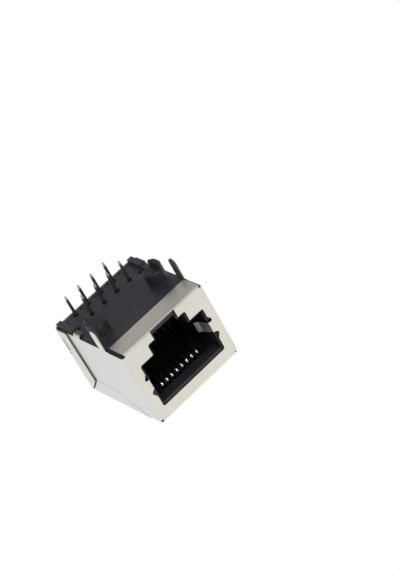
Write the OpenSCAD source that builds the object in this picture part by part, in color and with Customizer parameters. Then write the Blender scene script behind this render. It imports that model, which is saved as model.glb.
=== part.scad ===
// Shielded modular jack with eight contacts, soldered to a circuit board.
// Millimetres. X points right when facing the port, Y into the jack, Z up from the board.
// The origin lies on the board, midway between the two locating posts.

/* [Shield] */
// Width over the two side panels
shield_w = 15.9; // [15.8:0.05:16.4]
// Height above the board
shield_h = 13.5; // [13:0.05:14]
// Depth from the front plate to the back plate
shield_d = 17.1; // [17.05:0.05:17.8]
// Thickness of the sheet metal
sheet = 0.2; // [0.18:0.01:0.25]
// Outside radius of every fold
fold_r = 0.4; // [0.35:0.01:0.5]
// Diameter of the relief holes where two folds meet
relief_d = 0.45; // [0.3:0.01:0.6]
// Depth of the strip folded under the front edge
strip_len = 3.4; // [2.8:0.05:3.6]
// Distance from the strip's ends to the outer faces of the side panels
strip_inset = 0.5; // [0.4:0.05:0.8]
// Distance from the top plate's cut edge to the outer face of the side panels
top_inset = 0.3; // [0.28:0.01:0.4]
// Height of the panels' lower edge above the board
panel_low = 0.5; // [0.45:0.05:0.6]
// Height of the panels' lower edge beside the strip
panel_front_low = 0.6; // [0.5:0.05:0.7]
// Depth of the raised lower edge beside the strip
panel_front_len = 3.5; // [3.2:0.1:3.9]

/* [Side seam] */
// Width of the cut between a side panel and the top plate's flange
seam = 0.08; // [0.05:0.01:0.15]
// Length of the open slot at the front of the top edge
slot_len = 2.7; // [2.4:0.1:3.2]
// Distance of the panel's top edge below the top face
slot_drop = 0.6; // [0.55:0.05:0.8]
// Where the seam turns down, measured from the front
seam_turn = 3.9; // [3.7:0.1:4.3]
// Depth of the seam's upper level below the top face
seam_high = 1.65; // [1.4:0.05:2]
// Where the seam starts to slope down, measured from the front
seam_slope = 6.3; // [5.5:0.1:6.8]
// Where the slope ends, measured from the front
seam_level = 8.4; // [8:0.1:9]
// Depth of the seam's lower level below the top face
seam_low = 3.25; // [3:0.05:3.4]
// Where the seam takes its small step, measured from the front
seam_step_y = 11.1; // [10.5:0.1:12]
// Height of the small step
seam_step = 0.3; // [0.2:0.05:0.4]

/* [Rear flaps] */
// Length of each flap from the back face
flap_len = 2.95; // [2.6:0.05:3.1]
// Clearance between a flap and the panel it covers
flap_gap = 0.03; // [0.02:0.01:0.08]
// Gap between the flap's slanted edge and the flange
mitre_gap = 0.15; // [0.1:0.01:0.25]
// Height at which the flap's slanted edge starts
flap_high = 10.2; // [10:0.05:10.4]
// Bevel at the flap's lower rear corner
flap_bevel = 0.6; // [0.3:0.1:0.8]
// Width of the slit in each flap
slit_w = 0.25; // [0.2:0.01:0.3]
// Length of the slit in each flap
slit_len = 2.35; // [2:0.05:2.6]
// Height of the slit's lower end
slit_z = 2.2; // [2:0.05:2.4]
// Distance of the slit from the back face
slit_back = 0.95; // [0.8:0.01:1]

/* [Port] */
// Width of the cut-out in the front plate
port_w = 12.5; // [12.4:0.02:12.6]
// Height of the cut-out's lower edge
port_low = 3.5; // [3.4:0.05:3.6]
// Distance of the cut-out's upper edge below the top face
port_top = 2.15; // [2.05:0.05:2.25]
// Radius in the corners of the cut-out
port_r = 0.35; // [0.2:0.05:0.5]
// Width of the latch step
latch_w = 7.4; // [7.2:0.05:7.6]
// Height of the latch step's lower edge
latch_low = 1.7; // [1.6:0.05:1.8]
// Width of the release key step
key_w = 4.8; // [4.6:0.05:5]
// How far the plastic stands inside the cut-out
lip = 0.3; // [0.25:0.01:0.35]
// Depth of the plug cavity from the front
cavity_d = 12.3; // [12.2:0.02:12.4]
// Depth of the lip that the plug's latch catches behind
latch_lip = 2.2; // [2:0.1:2.4]
// Depth of the latch channel from the front
latch_d = 8.2; // [7.5:0.1:9]

/* [Grounding fingers] */
// Height of a finger's lower edge
finger_low = 6.15; // [6.1:0.01:6.2]
// Width of a finger
finger_w = 1.85; // [1.7:0.01:1.85]
// Distance of a finger's root from the middle
finger_x = 5.95; // [5.9:0.01:6]
// Length of a finger's first straight
finger_len = 1.72; // [1.6:0.02:1.8]
// Lean of the first straight toward the plug
finger_lean = 16; // [14:1:17]
// Length of the bent tip
finger_tip = 0.82; // [0.7:0.02:0.9]
// Lean of the bent tip
finger_tip_lean = 36; // [30:1:38]

/* [Housing] */
// Clearance between the plastic and the metal round it
fit_gap = 0.05; // [0.04:0.01:0.07]
// Height of the plastic's underside above the board
standoff = 0.4; // [0.3:0.05:0.5]
// Bevel on the plastic's edges inside the folds
edge_bevel = 0.12; // [0.1:0.01:0.2]
// Thickness of the plastic under the latch channel
latch_wall = 0.6; // [0.5:0.05:0.7]
// Width of the bay for the contact carrier
bay_w = 13.6; // [13.5:0.05:13.7]
// Depth from the front to the bay
bay_y = 12.3; // [12.3:0.02:12.5]
// Height of the rails behind the bay's corners
rail_h = 0.4; // [0.2:0.05:0.4]
// Diameter of the locating posts
post_d = 3.1; // [2.9:0.05:3.2]
// Distance between the locating posts
post_pitch = 11.43; // [11.3:0.01:11.5]
// Distance of the locating posts from the front
post_y = 7.55; // [7.45:0.01:7.6]
// Length of a post's round shank
post_shank = 2.1; // [1.8:0.05:2.3]
// Distance of the prong's flat from the post's axis
prong_flat = 0.55; // [0.4:0.05:0.7]
// Length of the ground legs and the prongs below the board's upper face
foot = 3.05; // [2.9:0.05:3.3]

/* [Contacts] */
// Diameter of the contact wire
wire_d = 0.46; // [0.4:0.01:0.48]
// Distance between two contacts in the port
contact_pitch = 1.02; // [1:0.01:1.04]
// Sideways distance between two solder pins
pin_pitch = 1.27; // [1.25:0.01:1.28]
// Distance between the two rows of solder pins
row_pitch = 2.54; // [2.5:0.01:2.56]
// Distance of the front pin row from the posts
pin_row = 6.35; // [6.3:0.01:6.4]
// Height of the wires' run above the cut-out
wire_rise = 0.22; // [0.15:0.01:0.25]
// Length of the solder pins below the board's upper face
pin_foot = 2.75; // [2.6:0.05:3]
// Slope of the spring arms
arm_slope = 28; // [26:1:29]
// Length of the spring arms
arm_len = 10.6; // [10.3:0.1:10.7]
// Clearance round each wire in the carrier
wire_gap = 0.03; // [0.02:0.01:0.05]

/* [Ground legs] */
// Width of a ground leg
leg_w = 1.6; // [1.4:0.05:1.8]
// Distance of the ground legs from the front
leg_y = 4.9; // [4.75:0.05:5]
// Width of the tabs folded under the housing
tab_w = 1.65; // [1.5:0.05:1.8]
// Distance of the tabs from the front
tab_y = 11.4; // [11:0.05:11.4]
// Distance of the tabs' ends from the middle
tab_x = 7.05; // [7:0.02:7.15]

/* [Hidden] */
round_fn = 48;
cut = 0.5;

// shield
half_w = shield_w / 2;
side_in = half_w - sheet;
panel_top = shield_h - slot_drop;
panel_back = shield_d - 1.1;
seam_1 = shield_h - seam_high;
seam_2 = shield_h - seam_low;
seam_3 = seam_2 - seam_step;
flap_front = shield_d - flap_len;
flap_out = half_w + flap_gap + sheet;
mitre = flap_high - flap_front;
flap_top = shield_h - fold_r - 0.1;
flange_back = shield_d - fold_r;
flange_y = flap_front + 0.25;

// front cut-out
port_high = shield_h - port_top;
finger_high = finger_low + finger_w;
root_x = finger_x + fold_r * cos(finger_lean);
notch_x = 6.7;
key_low = sheet;

// housing
block_x = side_in - fit_gap;
block_front = sheet + fit_gap;
block_back = shield_d - sheet - fit_gap;
block_top = shield_h - sheet - fit_gap;
plug_w = port_w - 2 * lip;
plug_low = port_low + lip;
plug_high = port_high - lip;
latch_in = latch_w - 2 * lip;
latch_floor = latch_low + lip;
key_in = key_w - 2 * lip;
key_floor = standoff + latch_wall;
under_strip = sheet + fit_gap;
rail_right = bay_y + 0.45;
rail_left = bay_y + 1.25;
post_x = post_pitch / 2;
post_r = post_d / 2;

// contacts and carrier
wire_z = port_high + wire_rise;
wire_r = wire_d / 2;
tunnel = wire_d + 2 * wire_gap;
groove_z = wire_z - wire_r - wire_gap;
carrier_w = bay_w - 2 * fit_gap;
carrier_low = standoff + 0.5;
comb_low = wire_z - 6.9;
carrier_top = wire_z + wire_r + 0.12;
carrier_front = cavity_d + fit_gap;
carrier_back = block_back;
deck_w = 10.6;
deck_front = 4.2;
front_row = post_y + pin_row;
pin_tip = 0.5;
pin_tip_r = 0.12;
rear_bend = 0.6;
front_bend = 0.5;
front_bend_y = 3.8;
jog_y = 12.1;
fan_y = jog_y - 4.1;
jog_a = 13;
jog_r = 1;

// ---------------------------------------------------------------- helpers

module both_sides() {
    children();
    mirror([1, 0, 0]) children();
}

// a drawing in Y and Z, given width along X
module along_x(x0, x1) {
    translate([x0, 0, 0]) rotate([90, 0, 90]) linear_extrude(x1 - x0) children();
}

// a drawing in X and Z, given depth along Y
module along_y(y0, y1) {
    translate([0, y1, 0]) rotate([90, 0, 0]) linear_extrude(y1 - y0) children();
}

module quarter_fold() {
    intersection() {
        difference() {
            circle(r = fold_r, $fn = round_fn);
            circle(r = fold_r - sheet, $fn = round_fn);
        }
        square(fold_r);
    }
}

module rounded_square(w, h, r) {
    translate([-w / 2, r]) square([w, h - 2 * r]);
    translate([-w / 2 + r, 0]) square([w - 2 * r, h]);
    for (x = [-w / 2 + r, w / 2 - r], y = [r, h - r])
        translate([x, y]) circle(r = r, $fn = round_fn);
}

// ---------------------------------------------------------------- shield

// strip, front plate, top plate and back plate, folded from one length
module wrap_profile() {
    translate([fold_r, 0]) square([strip_len - fold_r, sheet]);
    translate([fold_r, fold_r]) rotate(180) quarter_fold();
    translate([0, fold_r]) square([sheet, shield_h - 2 * fold_r]);
    translate([fold_r, shield_h - fold_r]) rotate(90) quarter_fold();
    translate([fold_r, shield_h - sheet]) square([shield_d - 2 * fold_r, sheet]);
    translate([shield_d - fold_r, shield_h - fold_r]) quarter_fold();
    translate([shield_d - sheet, panel_low])
        square([sheet, shield_h - fold_r - panel_low]);
}

// the front plate's side fold, drawn in X and Y
module front_fold() {
    translate([half_w - fold_r, fold_r]) rotate(270) quarter_fold();
}

// the back plate and its two flaps, drawn in X and Y
module rear_profile() {
    translate([-flap_out + fold_r, shield_d - sheet])
        square([2 * (flap_out - fold_r), sheet]);
    both_sides() {
        translate([flap_out - fold_r, shield_d - fold_r]) quarter_fold();
        translate([flap_out - sheet, flap_front])
            square([sheet, flap_len - fold_r]);
    }
}

// one side wall before the seam is cut, drawn in Y and Z
module side_outline() {
    flange_low = flange_y + mitre + mitre_gap;
    polygon([
        [fold_r, panel_front_low],
        [panel_front_len, panel_front_low],
        [panel_front_len, panel_low],
        [panel_back, panel_low],
        [panel_back, seam_3],
        [flange_y, seam_3],
        [flange_y, flange_low],
        [flange_back, flange_low + flange_back - flange_y],
        [flange_back, shield_h - fold_r],
        [slot_len, shield_h - fold_r],
        [slot_len, panel_top],
        [fold_r, panel_top]
    ]);
}

module seam_cut() {
    path = [[slot_len - cut, panel_top], [seam_turn, panel_top], [seam_turn, seam_1],
        [seam_slope, seam_1], [seam_level, seam_2], [seam_step_y, seam_2],
        [seam_step_y, seam_3], [panel_back + cut, seam_3]];
    for (i = [0 : len(path) - 2]) {
        d = path[i + 1] - path[i];
        translate(path[i]) rotate(atan2(d[1], d[0])) translate([-seam / 2, -seam / 2])
            square([norm(d) + seam, seam]);
    }
}

module port_cut() {
    translate([0, port_low])
        rounded_square(port_w, port_high - port_low, port_r);
    translate([0, latch_low]) rounded_square(latch_w, port_low, port_r);
    translate([-root_x, finger_low - seam])
        square([2 * root_x, finger_w + 2 * seam]);
    both_sides() {
        // round notch below the finger
        polygon([[port_w / 2 - port_r, finger_low - 1.15], [port_w / 2, finger_low - 1.05],
            [notch_x - 0.02, finger_low - 0.4],
            [notch_x - 0.25, finger_low], [port_w / 2 - port_r, finger_low]]);
        translate([notch_x - 0.22, finger_low - 0.24]) circle(r = 0.22, $fn = round_fn);
        // pointed notch above the finger
        polygon([[port_w / 2 - port_r, finger_high], [port_w / 2 + 0.12, finger_high],
            [notch_x, finger_high + 0.33], [notch_x + 0.03, finger_high + 0.5],
            [port_w / 2, finger_high + 1.35], [port_w / 2 - port_r, finger_high + 1.35]]);
    }
}

// a finger folded in from the cut-out's edge, drawn in X and Y
module finger_profile() {
    a1 = 90 + finger_lean;
    a2 = 90 + finger_tip_lean;
    turn = (a2 - a1) / 2;
    d1 = [cos(a1), sin(a1)];
    d2 = [cos(a2), sin(a2)];
    out1 = sheet * [sin(a1), -cos(a1)];
    out2 = sheet * [sin(a2), -cos(a2)];
    outm = sheet / cos(turn) * [sin(a1 + turn), -cos(a1 + turn)];
    p0 = [root_x, fold_r] - fold_r / sheet * out1;
    p1 = p0 + finger_len * d1;
    p2 = p1 + finger_tip * d2;
    intersection() {
        translate([root_x, fold_r]) difference() {
            circle(r = fold_r, $fn = round_fn);
            circle(r = fold_r - sheet, $fn = round_fn);
        }
        polygon([[root_x, fold_r], [root_x, -cut], p0 - fold_r * d1 - out1, p0 - out1]);
    }
    polygon([p0, p1, p2, p2 + out2, p1 + outm, p0 + out1]);
}

module side_wall() {
    difference() {
        union() {
            along_x(side_in, half_w) side_outline();
            translate([0, 0, panel_front_low])
                linear_extrude(panel_top - panel_front_low) front_fold();
            along_y(slot_len, flange_back)
                translate([half_w - fold_r, shield_h - fold_r]) quarter_fold();
            ground_leg();
            board_tab();
        }
        along_x(side_in - cut, half_w + flap_gap / 2) seam_cut();
    }
}

module ground_leg() {
    along_x(side_in, half_w) {
        translate([leg_y - leg_w / 2, leg_w / 2 - foot])
            square([leg_w, foot - leg_w / 2 + panel_front_low + sheet]);
        translate([leg_y, leg_w / 2 - foot]) circle(d = leg_w, $fn = round_fn);
    }
}

module board_tab() {
    along_y(tab_y - tab_w / 2, tab_y + tab_w / 2) {
        translate([tab_x, 0]) square([half_w - fold_r - tab_x, sheet]);
        translate([half_w - fold_r, fold_r]) rotate(270) quarter_fold();
        translate([side_in, fold_r]) square([sheet, sheet]);
    }
}

module rear_flaps() {
    difference() {
        translate([0, 0, panel_low]) linear_extrude(flap_top - panel_low) rear_profile();
        // slanted edge above, bevel at the lower rear corner
        both_sides() along_x(half_w + flap_gap / 2, flap_out + cut) {
            polygon([[flap_front - cut, flap_high - cut], [shield_d, shield_d + mitre],
                [shield_d, shield_h + cut], [flap_front - cut, shield_h + cut]]);
            polygon([[shield_d - flap_bevel, panel_low - cut],
                [shield_d - flap_bevel, panel_low], [shield_d, panel_low + flap_bevel],
                [shield_d + cut, panel_low + flap_bevel], [shield_d + cut, panel_low - cut]]);
        }
        both_sides() translate([half_w, shield_d - slit_back - slit_w / 2, slit_z])
            cube([1, slit_w, slit_len]);
        translate([half_w, shield_d - slit_back, slit_z + slit_len + 0.5])
            rotate([0, 90, 0]) cylinder(d = 0.3, h = 1, $fn = round_fn);
    }
    // small pressed bump under the slit
    translate([-flap_out + 0.08, shield_d - slit_back - 0.1, slit_z - 0.6])
        sphere(r = 0.22, $fn = round_fn);
}

module shield() {
    color("#d9d3c5") translate([0, -post_y, 0]) {
        difference() {
            union() {
                along_x(-half_w + top_inset, half_w - top_inset) wrap_profile();
                translate([-half_w + fold_r, 0, panel_front_low])
                    cube([2 * (half_w - fold_r), sheet, panel_top - panel_front_low]);
            }
            both_sides() {
                translate([half_w - strip_inset, -cut, -cut])
                    cube([1, strip_len + 1, panel_front_low + cut]);
                for (z = [fold_r, shield_h - fold_r])
                    translate([half_w - fold_r, fold_r + 0.1, z]) rotate([90, 0, 0])
                        cylinder(d = relief_d, h = 1, $fn = round_fn);
            }
            along_y(-cut, sheet + fit_gap / 2) port_cut();
            translate([-key_w / 2, -cut, key_low]) cube([key_w, fold_r + cut, port_low]);
        }
        both_sides() side_wall();
        rear_flaps();
        both_sides() translate([0, 0, finger_low]) linear_extrude(finger_w) finger_profile();
    }
}

// ---------------------------------------------------------------- housing

module post() {
    root = standoff + 0.2;
    chamfer = 0.2;
    tip = 0.5;
    rotate_extrude($fn = round_fn) polygon([[0, root], [post_r, root],
        [post_r, chamfer - post_shank], [post_r - chamfer, -post_shank], [0, -post_shank]]);
    intersection() {
        rotate_extrude($fn = round_fn) polygon([[0, root], [post_r, root],
            [post_r, tip - foot], [post_r - 0.35, -foot], [0, -foot]]);
        translate([prong_flat, -post_r, -foot]) cube([post_r, post_d, foot + root]);
    }
    // low rib in front of the post
    translate([-0.25, -3, standoff - 0.08]) cube([0.5, 1.6, 0.3]);
}

// the housing's outer block, bevelled where it lies inside a fold
module block() {
    e = edge_bevel;
    intersection() {
        along_y(block_front, block_back) polygon([[-block_x, standoff], [block_x, standoff],
            [block_x, block_top - e], [block_x - e, block_top], [e - block_x, block_top],
            [-block_x, block_top - e]]);
        along_x(-block_x, block_x) polygon([[block_front, standoff], [block_back, standoff],
            [block_back, block_top - e], [block_back - e, block_top],
            [block_front + e, block_top], [block_front, block_top - e]]);
        linear_extrude(shield_h) polygon([[e - block_x, block_front], [block_x - e, block_front],
            [block_x, block_front + e], [block_x, block_back], [-block_x, block_back],
            [-block_x, block_front + e]]);
    }
}

module housing() {
    color("#22252b") translate([0, -post_y, 0]) {
        difference() {
            union() {
                block();
                translate([strip_inset - half_w, fold_r, under_strip])
                    cube([2 * (half_w - strip_inset), strip_len - fold_r, standoff]);
                translate([bay_w / 2, rail_right, standoff - rail_h])
                    cube([block_x - bay_w / 2, block_back - rail_right, 1]);
                translate([-block_x, rail_left, standoff - rail_h])
                    cube([block_x - bay_w / 2, block_back - rail_left, 1]);
                translate([-block_x, bay_y, standoff - rail_h / 2])
                    cube([block_x - bay_w / 2, rail_left - bay_y + cut, 1]);
                both_sides() translate([post_x, post_y, 0]) post();
            }
            // plug cavity with its latch channel
            translate([-plug_w / 2, 0, plug_low])
                cube([plug_w, bay_y + cut, plug_high - plug_low]);
            translate([0, block_front, plug_high]) along_x(-plug_w / 2, plug_w / 2)
                polygon([[-0.1, -cut], [-0.1, 0.35], [0.25, 0], [0.25, -cut]]);
            translate([-latch_in / 2, 0, latch_floor]) cube([latch_in, latch_d, plug_low]);
            translate([-key_in / 2, 0, key_floor]) cube([key_in, latch_d, plug_low]);
            translate([-latch_in / 2, latch_lip, key_floor])
                cube([latch_in, latch_d - latch_lip, plug_low]);
            // windows that the grounding fingers spring into
            both_sides() translate([plug_w / 2 - cut, 0, finger_low - 0.3])
                cube([1 + cut, 3.6, finger_w + 0.6]);
            // bay for the contact carrier
            translate([-bay_w / 2, bay_y, -1])
                cube([bay_w, shield_d, 1 + carrier_top + fit_gap]);
            translate([-deck_w / 2 - fit_gap, deck_front - fit_gap, plug_high - cut])
                cube([deck_w + 2 * fit_gap, bay_y, carrier_top + fit_gap - plug_high + cut]);
            // comb of slots for the contacts' front bends
            for (i = [1 : 8]) translate([contact_x(i) - 0.31, 2.55, plug_high - cut])
                cube([0.62, deck_front, carrier_top + fit_gap - plug_high + cut]);
        }
    }
}

// ---------------------------------------------------------------- carrier

function contact_x(i) = (i - 4.5) * contact_pitch;
function pin_x(i) = (i - 4.5) * pin_pitch;
function pin_y(i) = front_row + (i % 2 == 0 ? row_pitch : 0);

module contact_carrier() {
    deck_low = plug_high + fit_gap;
    color("#1d2026") translate([0, -post_y, 0]) difference() {
        union() {
            translate([-carrier_w / 2, carrier_front, carrier_low])
                cube([carrier_w, carrier_back - carrier_front, carrier_top - carrier_low]);
            translate([-deck_w / 2, deck_front, deck_low])
                cube([deck_w, carrier_front - deck_front + cut, carrier_top - deck_low]);
        }
        for (i = [1 : 8]) {
            // hole for the pin, opened out at the board side
            translate([pin_x(i), pin_y(i), 0]) {
                cylinder(d = tunnel, h = wire_z, $fn = round_fn);
                cylinder(d = 0.85, h = carrier_low + 0.3, $fn = round_fn);
            }
            // pocket for the rear bend and groove for the wire
            translate([pin_x(i) - tunnel / 2, pin_y(i) - rear_bend, groove_z - rear_bend])
                cube([tunnel, rear_bend + tunnel / 2, 2]);
            translate([pin_x(i) - tunnel / 2, jog_y - cut, groove_z])
                cube([tunnel, pin_y(i) - jog_y, 2]);
            translate([contact_x(i) - tunnel / 2, deck_front - cut, groove_z])
                cube([tunnel, 5, 2]);
            // comb slot for the free end of the arm
            translate([contact_x(i) - 0.31, carrier_front - cut, comb_low])
                cube([0.62, 0.85 + cut, 3.8]);
        }
        // open pocket where the wires fan in
        translate([-4.9, fan_y, groove_z]) cube([9.8, carrier_front - fan_y, 2]);
        both_sides() translate([5.95, carrier_front + 0.35, 0]) cube([0.6, 1.1, carrier_low + cut]);
    }
}

// ---------------------------------------------------------------- contacts

// the wire runs along local Z and bends toward local X
module wire_straight(l) {
    cylinder(d = wire_d, h = l, $fn = round_fn);
}

module wire_bend(a, r) {
    translate([r, 0, 0]) rotate([90, 0, 180]) rotate_extrude(angle = a, $fn = round_fn)
        translate([r, 0]) circle(d = wire_d, $fn = round_fn);
}

module after_bend(a, r) {
    translate([r - r * cos(a), 0, r * sin(a)]) rotate([0, a, 0]) children();
}

// sideways step of dx, to the side the sign gives
module jog(dx) {
    side = sign(dx);
    run = jog_run(dx);
    rotate([0, 0, 90 * side]) {
        wire_bend(jog_a, jog_r);
        after_bend(jog_a, jog_r) {
            wire_straight(run);
            translate([0, 0, run]) rotate([0, 0, 180]) {
                wire_bend(jog_a, jog_r);
                after_bend(jog_a, jog_r) rotate([0, 0, 180 - 90 * side]) children();
            }
        }
    }
}

function jog_run(dx) = (abs(dx) - 2 * jog_r * (1 - cos(jog_a))) / sin(jog_a);
function jog_len(dx) = 2 * jog_r * sin(jog_a) + jog_run(dx) * cos(jog_a);

module contact(i) {
    dx = contact_x(i) - pin_x(i);
    rise = wire_z - rear_bend + pin_foot - pin_tip;
    back_run = pin_y(i) - rear_bend - jog_y;
    front_run = jog_y - jog_len(dx) - front_bend_y;
    color("#b9a66a") translate([pin_x(i), pin_y(i) - post_y, -pin_foot]) {
        cylinder(r1 = pin_tip_r, r2 = wire_r, h = pin_tip, $fn = round_fn);
        translate([0, 0, pin_tip]) {
            wire_straight(rise);
            translate([0, 0, rise]) rotate([0, 0, -90]) {
                wire_bend(90, rear_bend);
                after_bend(90, rear_bend) {
                    wire_straight(back_run);
                    translate([0, 0, back_run]) jog(dx) {
                        wire_straight(front_run);
                        translate([0, 0, front_run]) {
                            wire_bend(180 - arm_slope, front_bend);
                            after_bend(180 - arm_slope, front_bend)
                                wire_straight(arm_len);
                        }
                    }
                }
            }
        }
    }
}

module contact_1() { contact(1); }
module contact_2() { contact(2); }
module contact_3() { contact(3); }
module contact_4() { contact(4); }
module contact_5() { contact(5); }
module contact_6() { contact(6); }
module contact_7() { contact(7); }
module contact_8() { contact(8); }

shield();
housing();
contact_carrier();
contact_1();
contact_2();
contact_3();
contact_4();
contact_5();
contact_6();
contact_7();
contact_8();
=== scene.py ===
import math

import bpy
import numpy as np
from bpy.props import FloatProperty, FloatVectorProperty, PointerProperty
from mathutils import Matrix, Vector


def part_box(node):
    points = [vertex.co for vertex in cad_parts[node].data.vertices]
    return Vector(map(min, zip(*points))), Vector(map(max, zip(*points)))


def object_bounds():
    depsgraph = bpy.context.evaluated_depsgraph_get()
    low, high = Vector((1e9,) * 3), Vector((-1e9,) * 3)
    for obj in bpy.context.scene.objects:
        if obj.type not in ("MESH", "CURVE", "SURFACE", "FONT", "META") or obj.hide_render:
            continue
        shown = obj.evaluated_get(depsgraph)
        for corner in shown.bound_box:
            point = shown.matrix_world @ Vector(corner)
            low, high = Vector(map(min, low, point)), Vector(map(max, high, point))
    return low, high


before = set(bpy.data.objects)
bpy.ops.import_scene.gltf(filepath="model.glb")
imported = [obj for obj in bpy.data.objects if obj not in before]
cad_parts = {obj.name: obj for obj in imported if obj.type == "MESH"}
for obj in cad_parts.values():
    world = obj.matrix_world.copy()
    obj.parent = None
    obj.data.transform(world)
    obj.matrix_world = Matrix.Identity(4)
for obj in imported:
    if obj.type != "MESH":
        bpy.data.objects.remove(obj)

bl_info = {
    "name": "Board Jack Finish",
    "version": (1, 0, 0),
    "blender": (4, 5, 0),
    "location": "View3D > Sidebar > Board Jack",
    "description": "Finishes for a shielded modular board jack, and a plain studio for it",
    "category": "Material",
}

CAD_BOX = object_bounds()
BODY = "root"
CONTACTS = ["contact_%d" % i for i in range(1, 9)]
MM = 0.001

# the shield, for telling its sheared faces
SHEET = 0.2 * MM
TOLERANCE = 0.02 * MM
CORNER = 0.5 * MM
PLATE_X = 7.05 * MM
WALL_X = 7.2 * MM
FINGER_X = 6.6 * MM
SLIT_X = 7.76 * MM
SEAM_DROP = 3.6 * MM

# the port, for the shade in it
CAVITY_DEPTH = 12.0 * MM
LIP_DROP = 2.7 * MM
LIP_DEPTH = 2.2 * MM
NOTCH_X = 7.2 * MM
LIP_SHADE = 0.55
NOTCH_SHADE = 0.7
POST_SHADE = 0.6

# the view
CAMERA_PLACE = Vector((0.083996, -0.219628, -0.151379))
CAMERA_RIGHT = Vector((-0.689575, -0.5942, 0.414021))
CAMERA_UP = Vector((-0.643712, 0.240934, -0.726351))
CAMERA_LENS = 177.749


# ---------------------------------------------------------------- node helpers


class Wire:
    """A node socket that takes part in Python arithmetic, one Math node for each step."""

    def __init__(self, tree, socket):
        self.tree = tree
        self.socket = socket

    def maths(self, operation, *values):
        return self.tree.node("ShaderNodeMath", {"operation": operation}, *values)[0]

    def __add__(self, other):
        return self.maths("ADD", self, other)

    def __sub__(self, other):
        return self.maths("SUBTRACT", self, other)

    def __mul__(self, other):
        return self.maths("MULTIPLY", self, other)

    def __truediv__(self, other):
        return self.maths("DIVIDE", self, other)

    def __pow__(self, other):
        return self.maths("POWER", self, other)

    def __radd__(self, other):
        return self.maths("ADD", other, self)

    def __rsub__(self, other):
        return self.maths("SUBTRACT", other, self)

    def __rmul__(self, other):
        return self.maths("MULTIPLY", other, self)

    def __gt__(self, other):
        return self.maths("GREATER_THAN", self, other)

    def __lt__(self, other):
        return self.maths("LESS_THAN", self, other)

    def __abs__(self):
        return self.maths("ABSOLUTE", self)


class Tree:
    """A node tree that is built by calls."""

    def __init__(self, nodes, links):
        self.nodes = nodes
        self.links = links

    def node(self, kind, settings=None, *places, **named):
        """Adds a node: its settings first, then its sockets by place or by name. Gives its outputs."""
        made = self.nodes.new(kind)
        for name, value in (settings or {}).items():
            if name == "stops":
                self.stops(made.color_ramp, value)
            else:
                setattr(made, name, value)
        for key, value in list(enumerate(places)) + list(named.items()):
            socket = made.inputs[key if isinstance(key, int) else key.replace("_", " ")]
            self.feed(socket, value)
        return Outputs(self, made)

    def feed(self, socket, value):
        if isinstance(value, Wire):
            self.links.new(value.socket, socket)
        elif value is not None:
            socket.default_value = value

    def stops(self, ramp, stops):
        while len(ramp.elements) < len(stops):
            ramp.elements.new(0.5)
        for element, (place, colour) in zip(ramp.elements, stops):
            element.position = place
            element.color = colour

    def mix(self, factor, a, b):
        """A colour between a and b."""
        made = self.nodes.new("ShaderNodeMix")
        made.data_type = "RGBA"
        self.feed(made.inputs["Factor"], factor)
        self.feed(made.inputs[6], a)
        self.feed(made.inputs[7], b)
        return Wire(self, made.outputs[2])

    def step(self, value, low, high, smooth=True):
        """0 under low, 1 over high."""
        kind = "SMOOTHSTEP" if smooth else "LINEAR"
        return self.node("ShaderNodeMapRange", {"interpolation_type": kind, "clamp": True},
                         value, low, high, 0.0, 1.0)[0]

    def noise(self, place, scale, detail=3.0, rough=0.5):
        return self.node("ShaderNodeTexNoise", None, Vector=place, Scale=scale,
                         Detail=detail, Roughness=rough)["Fac"]

    def stretched(self, place, scale):
        """Coordinates stretched along the axes."""
        return self.node("ShaderNodeMapping", None, Vector=place, Scale=scale)["Vector"]

    def bump(self, height, depth, strength=1.0, normal=None):
        return self.node("ShaderNodeBump", None, Strength=strength, Distance=depth,
                         Height=height, Normal=normal)["Normal"]

    def place(self):
        """Object coordinates."""
        return self.node("ShaderNodeTexCoord")["Object"]

    def axes(self, vector):
        """The X, Y and Z parts of a vector."""
        return self.node("ShaderNodeSeparateXYZ", None, Vector=vector)

    def larger(self, a, b):
        return self.node("ShaderNodeMath", {"operation": "MAXIMUM"}, a, b)[0]


class Outputs:
    def __init__(self, tree, node):
        self.tree = tree
        self.node = node

    def __getitem__(self, key):
        return Wire(self.tree, self.node.outputs[key])


def material(name):
    """A new empty material and its tree."""
    made = bpy.data.materials.new(name)
    made.use_nodes = True
    made.node_tree.nodes.clear()
    return made, Tree(made.node_tree.nodes, made.node_tree.links)


def surface(tree, **sockets):
    """The Principled shader and the material's output."""
    shader = tree.node("ShaderNodeBsdfPrincipled", None, **sockets)["BSDF"]
    tree.node("ShaderNodeOutputMaterial", None, Surface=shader)
    return shader


def rgba(colour, level=1.0):
    return (colour[0] * level, colour[1] * level, colour[2] * level, 1.0)


# ---------------------------------------------------------------- finishes


def plated_sheet(look):
    """Satin nickel plate on rolled sheet: faint rolling streaks, soft cloudy tone."""
    made, t = material("plated_sheet")
    place = t.place()
    cloud = t.noise(place, 220.0, 3.0, 0.55)
    streak = t.noise(t.stretched(place, (1.0, 1.0, 14.0)), 900.0, 2.0, 0.5)
    grain = t.noise(place, 9000.0, 2.0, 0.6)
    tone = t.step(cloud * 0.75 + streak * 0.25, 0.3, 0.7)
    colour = t.mix(tone, rgba(look.plate, 0.965), rgba(look.plate, 1.02))
    roughness = look.plate_roughness - 0.05 + 0.07 * cloud + 0.05 * streak
    surface(t, Base_Color=colour, Metallic=1.0, Roughness=roughness,
            Normal=t.bump(grain * 0.6 + streak * 0.4, 0.000004, 0.35))
    return made


def cut_edge(look):
    """The sheared edge of the sheet, where the base metal shows, darkened further with painted shade."""
    made, t = material("cut_edge")
    place = t.place()
    shear = t.noise(place, 4200.0, 3.0, 0.6)
    colour = t.mix(t.step(shear, 0.35, 0.65), rgba(look.edge, 0.8), rgba(look.edge, 1.15))
    surface(t, Base_Color=colour, Metallic=1.0, Roughness=0.38 + 0.15 * shear,
            Normal=t.bump(shear, 0.00001, 0.4))
    return made


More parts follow.
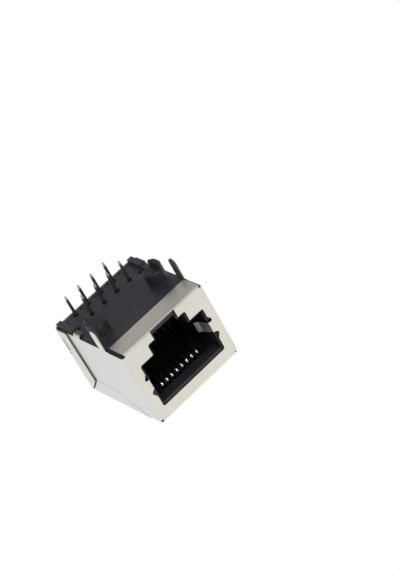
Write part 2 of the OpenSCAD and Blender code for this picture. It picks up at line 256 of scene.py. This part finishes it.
def seam_painted_shade(look):
    """The walls of the narrow seams and slits, near black with painted shade."""
    made, t = material("seam_painted_shade")
    shade_mottle = t.noise(t.place(), 3000.0, 3.0, 0.6)
    colour = t.mix(shade_mottle, rgba(look.seam, 0.6), rgba(look.seam, 1.4))
    surface(t, Base_Color=colour, Roughness=0.6 + 0.2 * shade_mottle)
    return made


def moulded_black(look, name, level):
    """Black moulded plastic with a fine spark-eroded grain and faint flow marks, and painted shade in the
    port and on the pegs.
    """
    made, t = material(name)
    place = t.place()
    flow = t.noise(t.stretched(place, (1.0, 0.45, 1.0)), 320.0, 3.0, 0.6)
    grain = t.noise(place, 7000.0, 2.0, 0.65)
    scuff = t.step(t.noise(place, 1500.0, 4.0, 0.7), 0.62, 0.78)
    colour = t.mix(t.step(flow, 0.3, 0.7), rgba(look.plastic, level * 0.9),
                   rgba(look.plastic, level * 1.12))
    colour = t.mix(scuff * 0.25, colour, rgba(look.plastic, level * 1.9))
    at = t.axes(place)
    # painted shade: the pegs below the board face are darkened towards the near-black shade colour
    on_post = t.step(at["Z"], 0.0, -0.3 * MM)
    colour = t.mix(on_post * POST_SHADE, colour, rgba(look.inside))
    # painted shade: the plug cavity, its lip and the notches are darkened towards the near-black shade
    # colour
    colour = t.mix(port_shade_mask(t, at), colour, rgba(look.inside))
    roughness = look.plastic_roughness - 0.06 + 0.1 * flow + 0.06 * grain
    surface(t, Base_Color=colour, Roughness=roughness,
            Normal=t.bump(grain, 0.000012, 0.3))
    return made


def port_shade_mask(t, at):
    """Painted shade mask: 1 deep in the plug cavity, less on its lip and in the notches beside the folded
    strip.
    """
    low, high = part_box("shield")
    lip = t.step(at["Z"], high.z - LIP_DROP, high.z - LIP_DROP + 0.2 * MM)
    deep = t.step(at["Y"] - LIP_DEPTH * lip, low.y, low.y + 0.1 * MM)
    deep = t.larger(deep, LIP_SHADE * lip)
    before_bay = t.step(at["Y"], low.y + CAVITY_DEPTH, low.y + CAVITY_DEPTH - 0.3 * MM)
    above_floor = t.step(at["Z"], 0.55 * MM, 0.7 * MM)
    inward = t.step(abs(at["X"]), high.x - 0.5 * MM, high.x - 0.8 * MM)
    notch = t.step(abs(at["X"]), NOTCH_X, NOTCH_X + 0.2 * MM) \
        * t.step(at["Y"], low.y + 4.5 * MM, low.y + 4.0 * MM)
    return t.larger(deep * before_bay * above_floor * inward, NOTCH_SHADE * notch)


def spring_wire(look):
    """Formed wire, plated where the plug touches: near-white bends carry a painted highlight and
    near-black arms a painted shade; tinned and dull on the solder pins.
    """
    made, t = material("spring_wire")
    place = t.place()
    height = t.axes(place)["Z"]
    drawn = t.noise(t.stretched(place, (1.0, 1.0, 0.15)), 5000.0, 2.0, 0.5)
    low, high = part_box("contact_1")
    on_pin = t.step(height, 1.2 * MM, 0.6 * MM)
    at_tip = t.step(height, low.z + 0.9 * MM, low.z + 0.35 * MM)
    # painted highlight and shade: near-white colour at the bends, near-black on the arms of the same wire
    at_bend = t.step(height, high.z - 1.9 * MM, high.z - 1.4 * MM)
    colour = t.mix(at_bend, rgba(look.arm), rgba(look.contact))
    colour = t.mix(on_pin, colour, rgba(look.pin))
    colour = t.mix(at_tip, colour, rgba(look.tip))
    roughness = 0.07 + 0.05 * drawn + 0.22 * on_pin + 0.2 * (1.0 - at_bend)
    surface(t, Base_Color=colour, Metallic=1.0, Roughness=roughness,
            Normal=t.bump(drawn, 0.000003, 0.25))
    return made


# ---------------------------------------------------------------- carried-over pieces


def node_object(name):
    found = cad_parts.get(name)
    if found is None:
        raise RuntimeError("the frame has no node named " + name)
    return found


def dress(obj, *finishes):
    """Gives the node its materials, all faces on the first."""
    obj.data.materials.clear()
    for finish in finishes:
        obj.data.materials.append(finish)
    obj.data.polygons.foreach_set("material_index", [0] * len(obj.data.polygons))


def face_table(obj):
    """Centres and normals of the node's faces, as arrays."""
    faces = obj.data.polygons
    centre = np.empty(len(faces) * 3)
    normal = np.empty(len(faces) * 3)
    faces.foreach_get("center", centre)
    faces.foreach_get("normal", normal)
    return centre.reshape(-1, 3), normal.reshape(-1, 3)


def sheared_faces(obj):
    """For each face of the shield: 1 on cut edges of its sheet (base metal darkened with painted shade),
    2 in its narrow seams (near-black painted shade).
    """
    centre, normal = face_table(obj)
    low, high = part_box("shield")
    side, depth, height = abs(centre[:, 0]), centre[:, 1] - low.y, centre[:, 2]
    from_top, from_back = high.z - height, high.y - centre[:, 1]
    plate = (depth < SHEET + TOLERANCE) & (abs(normal[:, 1]) < 0.3) & (side < PLATE_X) \
        & (height > 0.3 * MM) & (from_top > CORNER)
    wall = (side > WALL_X) & (abs(normal[:, 0]) < 0.25) & (depth > CORNER) \
        & (from_back > CORNER) & (from_top > CORNER)
    finger = (side < FINGER_X) & (depth > SHEET) & (depth < 3.0 * MM) \
        & (height > 5.0 * MM) & (height < 9.0 * MM)
    finger_end = finger & ((abs(normal[:, 2]) > 0.9) | (normal[:, 1] > 0.4))
    # the narrow seams and slits picked here get the near-black painted shade
    seam = wall & (from_top < SEAM_DROP) & (from_back > 1.0 * MM)
    slit = wall & (side < SLIT_X) & (from_back < 1.6 * MM) & (height < 7.5 * MM) \
        & (abs(normal[:, 2]) > 0.7)
    return (plate | wall | finger_end).astype(int) + (seam | slit).astype(int)


class JackLook(bpy.types.PropertyGroup):
    plate: FloatVectorProperty(name="Plate", description="Colour of the plated sheet",
                               subtype="COLOR", size=3, min=0, max=1, default=(0.785, 0.765, 0.69))
    plate_roughness: FloatProperty(name="Plate roughness", description="Gloss of the plated sheet",
                                   subtype="FACTOR", min=0, max=1, default=0.34)
    # base metal colour of the sheared edges, kept dark as painted shade
    edge: FloatVectorProperty(name="Cut edge", description="Colour of the sheared sheet edge",
                              subtype="COLOR", size=3, min=0, max=1, default=(0.20, 0.178, 0.13))
    # painted shade: the near-black colour of the walls in the narrow seams and slits
    seam: FloatVectorProperty(name="Seam", description="Colour inside the narrow seams",
                              subtype="COLOR", size=3, min=0, max=1, default=(0.02, 0.018, 0.014))
    plastic: FloatVectorProperty(name="Plastic", description="Colour of the moulded plastic",
                                 subtype="COLOR", size=3, min=0, max=1,
                                 default=(0.041, 0.0435, 0.0515))
    # painted shade: this near-black colour is put into the port and onto the pegs, not the plastic's own
    # colour
    inside: FloatVectorProperty(name="Port inside", description="Colour of the plastic in the port",
                                subtype="COLOR", size=3, min=0, max=1,
                                default=(0.0045, 0.0048, 0.006))
    plastic_roughness: FloatProperty(name="Plastic roughness", description="Gloss of the plastic",
                                     subtype="FACTOR", min=0, max=1, default=0.5)
    # painted highlight: the near-white colour of the bends
    contact: FloatVectorProperty(name="Contact", description="Colour of the bends at the port",
                                 subtype="COLOR", size=3, min=0, max=1, default=(0.92, 0.90, 0.85))
    # painted shade: the near-black colour of the arms
    arm: FloatVectorProperty(name="Spring arm", description="Colour of the arms inside the port",
                             subtype="COLOR", size=3, min=0, max=1, default=(0.06, 0.056, 0.045))
    pin: FloatVectorProperty(name="Pin", description="Colour of the solder pins",
                             subtype="COLOR", size=3, min=0, max=1, default=(0.17, 0.16, 0.12))
    tip: FloatVectorProperty(name="Pin tip", description="Colour of the solder pins' tips",
                             subtype="COLOR", size=3, min=0, max=1, default=(0.82, 0.80, 0.74))


class JackStudio(bpy.types.PropertyGroup):
    sky: FloatProperty(name="Sky", description="Level of the light from above",
                       min=0, max=3, default=0.95)
    ground: FloatProperty(name="Ground", description="Level of the light from below",
                          min=0, max=3, default=0.42)
    key: FloatProperty(name="Key lamp", description="Power of the large soft lamp",
                       subtype="POWER", unit="POWER", min=0, max=50, default=0.06)
    fill: FloatProperty(name="Front lamp", description="Power of the small lamp low in front of the port",
                        subtype="POWER", unit="POWER", min=0, max=50, default=0.4)
    floor: FloatProperty(name="Floor tone", description="Brightness of the pale floor",
                         subtype="FACTOR", min=0, max=1, default=0.86)


class JACK_OT_shield(bpy.types.Operator):
    """Plates the folded shield, bares the base metal on its sheared edges darkened with painted shade,
    and paints shade into its narrow seams
    """
    bl_idname = "jack.shield"
    bl_label = "Finish shield"

    def execute(self, context):
        look = context.scene.jack_look
        obj = node_object("shield")
        dress(obj, plated_sheet(look), cut_edge(look), seam_painted_shade(look))
        mask = sheared_faces(obj)
        if not mask.any():
            raise RuntimeError("no sheared edge was found on the shield")
        obj.data.polygons.foreach_set("material_index", mask.tolist())
        obj.data.update()
        return {"FINISHED"}


class JACK_OT_housing(bpy.types.Operator):
    """Gives the housing its black moulded finish"""
    bl_idname = "jack.housing"
    bl_label = "Finish housing"

    # Gives the housing its black moulded finish, with painted shade in the port and on the pegs
    def execute(self, context):
        dress(node_object("housing"), moulded_black(context.scene.jack_look, "housing_plastic", 1.0))
        return {"FINISHED"}


class JACK_OT_carrier(bpy.types.Operator):
    """Gives the contact carrier a slightly darker plastic"""
    bl_idname = "jack.carrier"
    bl_label = "Finish contact carrier"

    def execute(self, context):
        dress(node_object("contact_carrier"),
              moulded_black(context.scene.jack_look, "carrier_plastic", 1.1))
        return {"FINISHED"}


class JACK_OT_contacts(bpy.types.Operator):
    """Plates the eight spring contacts, with a painted highlight on their bends and painted shade on
    their arms, and tins their solder pins
    """
    bl_idname = "jack.contacts"
    bl_label = "Finish contacts"

    def execute(self, context):
        finish = spring_wire(context.scene.jack_look)
        for name in CONTACTS:
            dress(node_object(name), finish)
        return {"FINISHED"}


# ---------------------------------------------------------------- studio


def floor_finish(tone):
    """Pale paper that keeps the shadow, and that is clear from beneath."""
    made, t = material("studio_paper")
    path = t.node("ShaderNodeLightPath")
    under = t.node("ShaderNodeNewGeometry")["Backfacing"]
    fibre = t.noise(t.place(), 60.0, 4.0, 0.6)
    colour = t.mix(fibre, (tone * 0.99, tone * 0.99, tone * 0.985, 1), (tone, tone, tone, 1))
    paper = t.node("ShaderNodeBsdfPrincipled", None, Base_Color=colour, Roughness=0.9,
                   Specular_IOR_Level=0.1)["BSDF"]
    clear = t.node("ShaderNodeBsdfTransparent")["BSDF"]
    see = t.larger(t.larger(under, path["Is Shadow Ray"]), path["Is Glossy Ray"])
    shader = t.node("ShaderNodeMixShader", None, see, paper, clear)["Shader"]
    t.node("ShaderNodeOutputMaterial", None, Surface=shader)
    return made


def light_world(scene, studio):
    """White to the camera, and a soft dome that is brighter above than below."""
    world = bpy.data.worlds.new("studio_dome")
    world.use_nodes = True
    world.node_tree.nodes.clear()
    t = Tree(world.node_tree.nodes, world.node_tree.links)
    way = t.axes(t.node("ShaderNodeTexCoord")["Generated"])
    level = studio.ground + (studio.sky - studio.ground) * t.step(way["Z"], -0.8, 0.8)
    tint = t.mix(t.step(way["X"], -0.15, 0.25), (0.94, 0.93, 0.93, 1), (0.965, 0.99, 1.07, 1))
    seen = t.node("ShaderNodeLightPath")["Is Camera Ray"]
    dome = t.node("ShaderNodeBackground", None, Color=tint, Strength=level)["Background"]
    white = t.node("ShaderNodeBackground", None, Color=(1, 1, 1, 1), Strength=1.0)["Background"]
    shader = t.node("ShaderNodeMixShader", None, seen, dome, white)["Shader"]
    t.node("ShaderNodeOutputWorld", None, Surface=shader)
    scene.world = world


def softbox(name, place, target, size, power, colour=(1, 1, 1)):
    lamp = bpy.data.lights.new(name, "AREA")
    lamp.shape = "RECTANGLE"
    lamp.size, lamp.size_y = size
    lamp.energy = power
    lamp.color = colour
    obj = bpy.data.objects.new(name, lamp)
    obj.location = place
    obj.rotation_euler = (Vector(target) - Vector(place)).to_track_quat("-Z", "Y").to_euler()
    bpy.context.scene.collection.objects.link(obj)
    return obj


class JACK_OT_studio(bpy.types.Operator):
    """Lays the pale floor and sets the soft lights and the camera"""
    bl_idname = "jack.studio"
    bl_label = "Set up studio"

    def execute(self, context):
        scene = context.scene
        studio = scene.jack_studio
        low, high = CAD_BOX
        base = low[2] - 0.00001
        mesh = bpy.data.meshes.new("studio_floor")
        r = 3.0
        mesh.from_pydata([(-r, -r, base), (r, -r, base), (r, r, base), (-r, r, base)], [],
                         [(0, 1, 2, 3)])
        floor = bpy.data.objects.new("studio_floor", mesh)
        scene.collection.objects.link(floor)
        floor.data.materials.append(floor_finish(studio.floor))
        light_world(scene, studio)
        middle = (0, 0.001, 0.006)
        softbox("key_box", (-0.22, -0.25, 0.42), middle, (0.3, 0.3), studio.key)
        softbox("front_box", (0.03, -0.31, -0.3), middle, (0.05, 0.05), studio.fill)
        eye = bpy.data.cameras.new("camera")
        eye.sensor_fit = "HORIZONTAL"
        eye.sensor_width = 36.0
        eye.lens = CAMERA_LENS
        eye.clip_start = 0.01
        eye.clip_end = 20.0
        camera = bpy.data.objects.new("camera", eye)
        right = CAMERA_RIGHT.normalized()
        up = (CAMERA_UP - CAMERA_UP.dot(right) * right).normalized()
        turn = Matrix((right, up, right.cross(up))).transposed().to_4x4()
        camera.matrix_world = Matrix.Translation(CAMERA_PLACE) @ turn
        scene.collection.objects.link(camera)
        scene.camera = camera
        scene.view_settings.view_transform = "Standard"
        return {"FINISHED"}


class JACK_PT_panel(bpy.types.Panel):
    """Lists the steps and the finishes"""
    bl_idname = "JACK_PT_panel"
    bl_label = "Board Jack"
    bl_space_type = "VIEW_3D"
    bl_region_type = "UI"
    bl_category = "Board Jack"

    def draw(self, context):
        for step in STEPS:
            self.layout.operator(step.bl_idname)
        for group in (context.scene.jack_look, context.scene.jack_studio):
            for name in group.__annotations__:
                self.layout.prop(group, name)


STEPS = (JACK_OT_shield, JACK_OT_housing, JACK_OT_carrier, JACK_OT_contacts, JACK_OT_studio)
CLASSES = (JackLook, JackStudio) + STEPS + (JACK_PT_panel,)


def register():
    for cls in CLASSES:
        bpy.utils.register_class(cls)
    bpy.types.Scene.jack_look = PointerProperty(type=JackLook)
    bpy.types.Scene.jack_studio = PointerProperty(type=JackStudio)


def unregister():
    del bpy.types.Scene.jack_studio
    del bpy.types.Scene.jack_look
    for cls in reversed(CLASSES):
        bpy.utils.unregister_class(cls)


def main():
    register()
    for step in STEPS:
        group, name = step.bl_idname.split(".")
        getattr(getattr(bpy.ops, group), name)()


if __name__ == "__main__":
    main()
